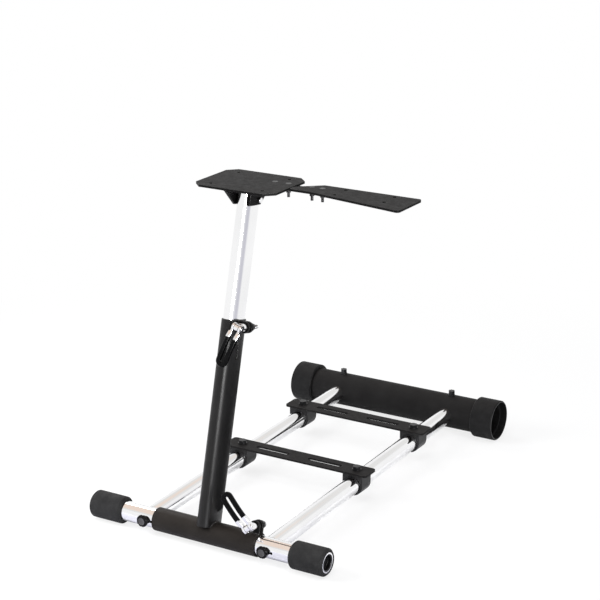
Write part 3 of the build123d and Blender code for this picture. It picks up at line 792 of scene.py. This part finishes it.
def look_round(tree, height):
    """Where a point lies from the post's foot at a height: its offset, its bearing and how far back."""
    coords = tree.nodes.new("ShaderNodeTexCoord")
    offset = tree.nodes.new("ShaderNodeVectorMath")
    offset.operation = "SUBTRACT"
    offset.inputs[1].default_value = (post_frame.translation.x, post_frame.translation.y, height)
    tree.links.new(coords.outputs["Object"], offset.inputs[0])
    parts = tree.nodes.new("ShaderNodeSeparateXYZ")
    tree.links.new(offset.outputs["Vector"], parts.inputs["Vector"])
    bearing = add_math(tree, "ARCTAN2", parts.outputs["Y"], parts.outputs["X"])
    return offset.outputs["Vector"], bearing, parts.outputs["Y"]


white = (1.0, 1.0, 1.0)
strip_grey = (0.63, 0.63, 0.69)
# Grey strip, a painted reflection: what stands right of the stand, by its bearing in degrees
grey_strip = [
    (math.radians(degrees), colour)
    for degrees, colour in (
        (-180, white), (-12, white), (2, (0.86, 0.86, 0.89)), (35, (0.83, 0.83, 0.87)),
        (42, strip_grey), (46, strip_grey), (50, white), (180, white),
    )
]
floor_half = 30.0
floor_mesh = bpy.data.meshes.new("floor")
floor_mesh.from_pydata(
    [(-floor_half, -floor_half, 0), (floor_half, -floor_half, 0), (floor_half, floor_half, 0),
     (-floor_half, floor_half, 0)],
    [],
    [(0, 1, 2, 3)],
)
floor = bpy.data.objects.new("floor", floor_mesh)
bpy.context.scene.collection.objects.link(floor)
tree, surface = new_paint("floor_paint", floor_mesh)
matte = tree.nodes.new("ShaderNodeBsdfDiffuse")
matte.inputs["Color"].default_value = (0.9, 0.9, 0.915, 1.0)
# Painted reflection and shade: in mirrors the floor shows a glowing grey strip right of the stand, and a
# darker, bluer patch in front of the tube.
shaded = tree.nodes.new("ShaderNodeBsdfDiffuse")
painted_front_shade = tree.nodes.new("ShaderNodeMix")
painted_front_shade.data_type = "RGBA"
painted_front_shade.inputs["A"].default_value = (0.95, 0.95, 0.965, 1.0)
painted_front_shade.inputs["B"].default_value = (0.6, 0.6, 0.69, 1.0)
glow = tree.nodes.new("ShaderNodeEmission")
painted_strip_reflection = tree.nodes.new("ShaderNodeEmission")
paths = tree.nodes.new("ShaderNodeLightPath")
coords = tree.nodes.new("ShaderNodeTexCoord")
away = measure(tree, coords.outputs["Object"])
_, bearing, back = look_round(tree, height=0.0)
in_front = map_range(tree, back, start=0.02, end=0.1, low=1.0, high=0.0)
seen_glow = map_range(tree, away, start=0.45, end=1.3, low=0.8, high=1.0)
mirrored_glow = map_range(tree, away, start=0.6, end=1.3, low=0.2, high=1.0)
tree.links.new(in_front, painted_front_shade.inputs["Factor"])
tree.links.new(painted_front_shade.outputs["Result"], shaded.inputs["Color"])
tree.links.new(new_ramp(tree, bearing, grey_strip), painted_strip_reflection.inputs["Color"])
seen = mix_shaders(tree, seen_glow, matte.outputs["BSDF"], glow.outputs["Emission"])
mirrored = mix_shaders(tree, mirrored_glow, shaded.outputs["BSDF"], painted_strip_reflection.outputs["Emission"])
shown = mix_shaders(tree, paths.outputs["Is Camera Ray"], matte.outputs["BSDF"], seen)
shown = mix_shaders(tree, paths.outputs["Is Glossy Ray"], shown, mirrored)
tree.links.new(shown, surface)

# Dark card: a level fan with soft edges that glows faintly dark, a painted dark reflection above the
# rails, with the post's foot as its corner. It shows from above, and only in mirrors.
card_height = 60.0 * mm
card_reach = 0.96
card_start, card_end = 31, 80
soft_turn = 6
soft_reach = 0.12
card_mesh = bpy.data.meshes.new("dark_card")
fan = [(0.0, 0.0, 0.0)]
for degrees in range(card_start, card_end + 1):
    turn = math.radians(degrees)
    fan.append((card_reach * math.cos(turn), card_reach * math.sin(turn), 0.0))
card_mesh.from_pydata(fan, [], [tuple(range(len(fan)))])
card_foot = (post_frame.translation.x, post_frame.translation.y, card_height)
card_mesh.transform(Matrix.Translation(card_foot))
card = bpy.data.objects.new("dark_card", card_mesh)
bpy.context.scene.collection.objects.link(card)
for kind in ("camera", "diffuse", "shadow", "transmission", "volume_scatter"):
    setattr(card, f"visible_{kind}", False)
tree, surface = new_paint("black_paper", card_mesh)
clear = tree.nodes.new("ShaderNodeBsdfTransparent")
dark = tree.nodes.new("ShaderNodeEmission")
dark.inputs["Color"].default_value = (0.05, 0.05, 0.055, 1.0)
paper_side = tree.nodes.new("ShaderNodeNewGeometry")
offset, bearing, _ = look_round(tree, height=card_height)
soft_start = map_range(
    tree, bearing, math.radians(card_start), math.radians(card_start + soft_turn), low=0.0, high=1.0
)
soft_end = map_range(
    tree, bearing, math.radians(card_end - soft_turn), math.radians(card_end), low=1.0, high=0.0
)
soft_rim = map_range(
    tree, measure(tree, offset), start=card_reach - soft_reach, end=card_reach, low=1.0, high=0.0
)
on_card = add_math(tree, "SUBTRACT", 1.0, paper_side.outputs["Backfacing"])
for edge in (soft_start, soft_end, soft_rim):
    on_card = add_math(tree, "MULTIPLY", on_card, edge)
tree.links.new(mix_shaders(tree, on_card, clear.outputs["BSDF"], dark.outputs["Emission"]), surface)

# Surroundings: what polished metal shows of the room by direction, a white background, and an even
# grey light on everything else.
world = bpy.data.worlds.new("studio")
bpy.context.scene.world = world
world.use_nodes = True
tree = world.node_tree
tree.nodes.clear()
surface = tree.nodes.new("ShaderNodeOutputWorld").inputs["Surface"]
coords = tree.nodes.new("ShaderNodeTexCoord")
parts = tree.nodes.new("ShaderNodeSeparateXYZ")
tree.links.new(coords.outputs["Generated"], parts.inputs["Vector"])
bearing = add_math(tree, "ARCTAN2", parts.outputs["Y"], parts.outputs["X"])
rise = parts.outputs["Z"]
pale_grey = (0.85, 0.845, 0.835)
warm_beige = (0.92, 0.77, 0.67)
ceiling_tones = [(0.0, pale_grey), (0.63, pale_grey), (0.7, warm_beige), (1.0, warm_beige)]
ceiling = tree.nodes.new("ShaderNodeMix")
ceiling.data_type = "RGBA"
overhead = map_range(tree, rise, start=0.46, end=0.58, low=0.0, high=1.0)
tree.links.new(overhead, ceiling.inputs["Factor"])
tree.links.new(new_ramp(tree, bearing, grey_strip), ceiling.inputs["A"])
tree.links.new(new_ramp(tree, rise, ceiling_tones), ceiling.inputs["B"])
seen = tree.nodes.new("ShaderNodeBackground")
seen.inputs["Color"].default_value = (*white, 1.0)
mirrored = tree.nodes.new("ShaderNodeBackground")
tree.links.new(ceiling.outputs["Result"], mirrored.inputs["Color"])
lit = tree.nodes.new("ShaderNodeBackground")
lit.inputs["Strength"].default_value = 0.55
paths = tree.nodes.new("ShaderNodeLightPath")
shown = mix_shaders(
    tree, paths.outputs["Is Camera Ray"], lit.outputs["Background"], seen.outputs["Background"]
)
shown = mix_shaders(tree, paths.outputs["Is Glossy Ray"], shown, mirrored.outputs["Background"])
tree.links.new(shown, surface)


def add_lamp(name, place, aim, width, height, power):
    """A soft lamp with a straight face that points at a place."""
    data = bpy.data.lights.new(name, "AREA")
    data.shape = "RECTANGLE"
    data.size = width
    data.size_y = height
    data.energy = power
    lamp = bpy.data.objects.new(name, data)
    lamp.location = place
    lamp.rotation_euler = (Vector(aim) - Vector(place)).to_track_quat("-Z", "Y").to_euler()
    bpy.context.scene.collection.objects.link(lamp)
    return lamp


strip = add_lamp(
    "strip_lamp", place=(2.05, -1.14, 0.43), aim=(-0.03, -0.3, 0.43), width=1.5, height=0.34, power=72.0
)
strip.visible_diffuse = False
add_lamp("back_lamp", place=(-2.0, 1.0, 2.1), aim=(0.0, 0.0, 0.2), width=0.9, height=0.9, power=16.0)
for name, place, aim, size, power in (
    ("left_lamp", (-1.1, -0.9, 0.9), (-0.2, -0.3, 0.1), 0.8, 25.0),
    ("top_lamp", (0.3, -0.7, 3.0), (0.0, 0.0, 0.0), 1.6, 45.0),
):
    add_lamp(name, place, aim, size, size, power).visible_glossy = False

# Camera: far off with a long lens, at the photograph's viewing angle.
camera_turn, camera_drop = 30.74, 17.85
camera_data = bpy.data.cameras.new("camera")
camera_data.sensor_width = 36.0
camera_data.lens = 110.4
camera = bpy.data.objects.new("camera", camera_data)
camera.location = (1.5567, -2.7122, 1.3533)
camera.rotation_euler = (math.radians(90 - camera_drop), 0.0, math.radians(camera_turn))
bpy.context.scene.collection.objects.link(camera)
bpy.context.scene.camera = camera
bpy.context.scene.view_settings.view_transform = "Standard"
